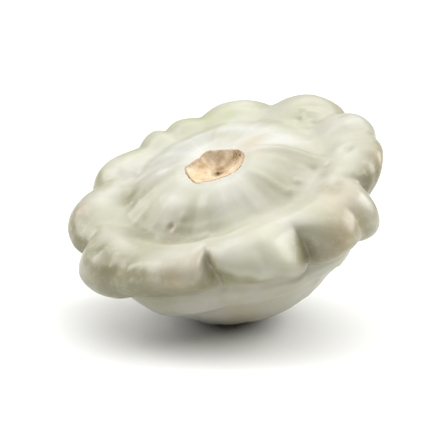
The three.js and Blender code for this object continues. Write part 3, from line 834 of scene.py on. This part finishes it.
def squash_surface(form):
    """The upright fruit as a grid of points, angles x rows, with the share of each colour zone and
    the place of each point on the tube that the streaks are drawn on."""
    angle = np.arange(COLUMNS) * 360.0 / COLUMNS
    stations = section_at(angle, form)
    chance = np.random.default_rng(form.seed)
    clean = stations[0].copy()
    ragged = np.tile(chance.uniform(-EDGE_RAGGED, EDGE_RAGGED, COLUMNS), 3)
    stations[0, :, 0] += np.convolve(ragged, EDGE_SMOOTHING, "same")[COLUMNS:2 * COLUMNS]
    at = np.arange((len(SECTION) - 1) * STEPS + 1) / STEPS
    place, out = along_section(stations, at)
    spread = np.repeat(angle[:, None], len(at), 1)
    points = turned(place[..., 0], place[..., 1], spread)
    place = place + out * relief(at, angle, place, points, form)[..., None]
    skin = turned(place[..., 0], place[..., 1], spread)
    stalk = dish(clean, form.scar_depth / MM, STALK_ROWS, angle)[:, ::-1]
    inward = np.arange(1, STALK_ROWS) / STALK_ROWS
    fade = np.minimum((1 - inward) / CORK_FADE, 1)[None, :]
    stalk[..., 2] += cork_height(stalk, form) * fade
    blossom = dish(stations[-1], -form.blossom_depth / MM, BLOSSOM_ROWS, angle)
    grid = np.concatenate([stalk, skin, blossom], 1)
    row = np.concatenate([inward - 1, at, np.full(BLOSSOM_ROWS - 1, at[-1])])[None, :]
    torn = around(EDGE_CRACK_SHADE, angle) * chance.uniform(*EDGE_BROKEN, COLUMNS)
    zones = colour_zones(grid, row, angle, torn[:, None], form)
    turn = np.radians(angle)[:, None]
    grown = np.stack([
        STREAK_TUBE_RADIUS * np.cos(turn) + 0 * row,
        STREAK_TUBE_RADIUS * np.sin(turn) + 0 * row,
        STREAK_TUBE_STEP * row + 0 * turn,
    ], -1)
    return grid, zones, grown


def build_squash(form, colours):
    """The squash as one closed mesh: the grid, and a fan at each end."""
    grid, zones, grown = squash_surface(form)
    rows = grid.shape[1]
    top = SECTION[0][2] - form.scar_depth / MM
    bottom = SECTION[-1][2] + form.blossom_depth / MM
    points = np.concatenate([grid.reshape(-1, 3), [[0, 0, top], [0, 0, bottom]]])
    points = lay_down(points, form)
    stalk, blossom = len(points) - 2, len(points) - 1
    here = np.arange(COLUMNS)[:, None] * rows + np.arange(rows - 1)[None, :]
    after = np.roll(np.arange(COLUMNS), -1)[:, None] * rows + np.arange(rows - 1)[None, :]
    quads = np.stack([here, here + 1, after + 1, after], -1).reshape(-1, 4).tolist()
    starts = np.arange(COLUMNS) * rows
    nexts = np.roll(starts, -1)
    fans = [(stalk, int(a), int(b)) for a, b in zip(starts, nexts)]
    fans += [(blossom, int(b) + rows - 1, int(a) + rows - 1) for a, b in zip(starts, nexts)]
    mesh = bpy.data.meshes.new("pattypan_squash_fine")
    mesh.from_pydata(points.tolist(), [], quads + fans)
    mesh.materials.append(rind_material(colours))
    mesh.materials.append(cork_material(colours))
    row_of_face = np.concatenate([np.tile(np.arange(rows - 1), COLUMNS), np.full(COLUMNS, 0),
                                  np.full(COLUMNS, rows - 1)])
    cork = (row_of_face < STALK_ROWS) | (row_of_face >= rows - BLOSSOM_ROWS)
    mesh.polygons.foreach_set("material_index", cork.astype(np.int32))
    mesh.shade_smooth()
    for name, values in zones.items():
        layer = mesh.attributes.new(name, "FLOAT", "POINT")
        middles = [values[0, 0], values[0, -1]]
        layer.data.foreach_set("value", np.append(values.reshape(-1), middles).astype(np.float32))
    layer = mesh.attributes.new("grown", "FLOAT_VECTOR", "POINT")
    middles = [[0.0, 0.0, grown[0, 0, 2]], [0.0, 0.0, grown[0, -1, 2]]]
    grown = np.concatenate([grown.reshape(-1, 3), middles]) * MM
    layer.data.foreach_set("vector", grown.reshape(-1).astype(np.float32))
    mesh.update()
    piece = bpy.data.objects.new("pattypan_squash_rind", mesh)
    bpy.context.scene.collection.objects.link(piece)
    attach(piece, BODY)
    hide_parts(NODE)
    return piece


def build_stage(stage, colours):
    """The floor, the even fill light, the softboxes and the camera."""
    half = FLOOR_HALF_WIDTH
    mesh = bpy.data.meshes.new("studio_floor")
    corners = [(-half, -half, 0), (half, -half, 0), (half, half, 0), (-half, half, 0)]
    mesh.from_pydata(corners, [], [(0, 1, 2, 3)])
    mesh.materials.append(floor_material(colours))
    floor = bpy.data.objects.new("studio_floor", mesh)
    bpy.context.scene.collection.objects.link(floor)
    world = bpy.data.worlds.new("studio_fill")
    world.use_nodes = True
    world.node_tree.nodes["Background"].inputs["Color"].default_value = (1, 1, 1, 1)
    world.node_tree.nodes["Background"].inputs["Strength"].default_value = stage.sky
    bpy.context.scene.world = world
    for name, strength, width, tilt_x, tilt_y in SOFTBOXES:
        light = bpy.data.lights.new(name, "SUN")
        light.energy = stage.key * strength
        light.angle = math.radians(width)
        softbox = bpy.data.objects.new(name, light)
        softbox.rotation_euler = (math.radians(tilt_x), math.radians(tilt_y), 0)
        bpy.context.scene.collection.objects.link(softbox)
    lens = bpy.data.cameras.new("camera")
    lens.lens = stage.camera_lens
    lens.sensor_width = SENSOR_WIDTH
    lens.clip_start = 0.01
    camera = bpy.data.objects.new("camera", lens)
    elevation, distance = stage.camera_elevation, stage.camera_distance
    tx, ty, tz = stage.target
    camera.location = (tx, ty - distance * math.cos(elevation), tz + distance * math.sin(elevation))
    camera.rotation_euler = (math.radians(90) - elevation, 0, 0)
    bpy.context.scene.collection.objects.link(camera)
    bpy.context.scene.camera = camera
    bpy.context.scene.view_settings.view_transform = "Standard"


class MESH_OT_build_squash(bpy.types.Operator):
    """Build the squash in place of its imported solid"""
    bl_idname = "mesh.build_squash"
    bl_label = "Build squash"

    def execute(self, context):
        scene = context.scene
        build_squash(scene.squash_form, scene.squash_colours)
        return {"FINISHED"}


class SCENE_OT_build_stage(bpy.types.Operator):
    """Build the floor, the lights and the camera"""
    bl_idname = "scene.build_stage"
    bl_label = "Build stage"

    def execute(self, context):
        scene = context.scene
        build_stage(scene.stage_form, scene.squash_colours)
        return {"FINISHED"}


class VIEW3D_PT_squash(bpy.types.Panel):
    """The squash's settings and buttons"""
    bl_label = "Pattypan squash"
    bl_space_type = "VIEW_3D"
    bl_region_type = "UI"
    bl_category = "Squash"

    def draw(self, context):
        scene = context.scene
        for group in (scene.squash_form, scene.squash_colours, scene.stage_form):
            box = self.layout.box()
            for name in group.__annotations__:
                box.prop(group, name)
        self.layout.operator(MESH_OT_build_squash.bl_idname)
        self.layout.operator(SCENE_OT_build_stage.bl_idname)


CLASSES = (
    SquashForm, SquashColours, StageForm,
    MESH_OT_build_squash, SCENE_OT_build_stage, VIEW3D_PT_squash,
)


def register():
    """Makes the classes known to Blender, and gives each scene their settings."""
    for cls in CLASSES:
        bpy.utils.register_class(cls)
    bpy.types.Scene.squash_form = bpy.props.PointerProperty(type=SquashForm)
    bpy.types.Scene.squash_colours = bpy.props.PointerProperty(type=SquashColours)
    bpy.types.Scene.stage_form = bpy.props.PointerProperty(type=StageForm)


def unregister():
    """Takes away what register added."""
    del bpy.types.Scene.stage_form
    del bpy.types.Scene.squash_colours
    del bpy.types.Scene.squash_form
    for cls in reversed(CLASSES):
        bpy.utils.unregister_class(cls)


def main():
    """Builds the stage and the squash."""
    register()
    bpy.ops.scene.build_stage()
    bpy.ops.mesh.build_squash()


if __name__ == "__main__":
    main()
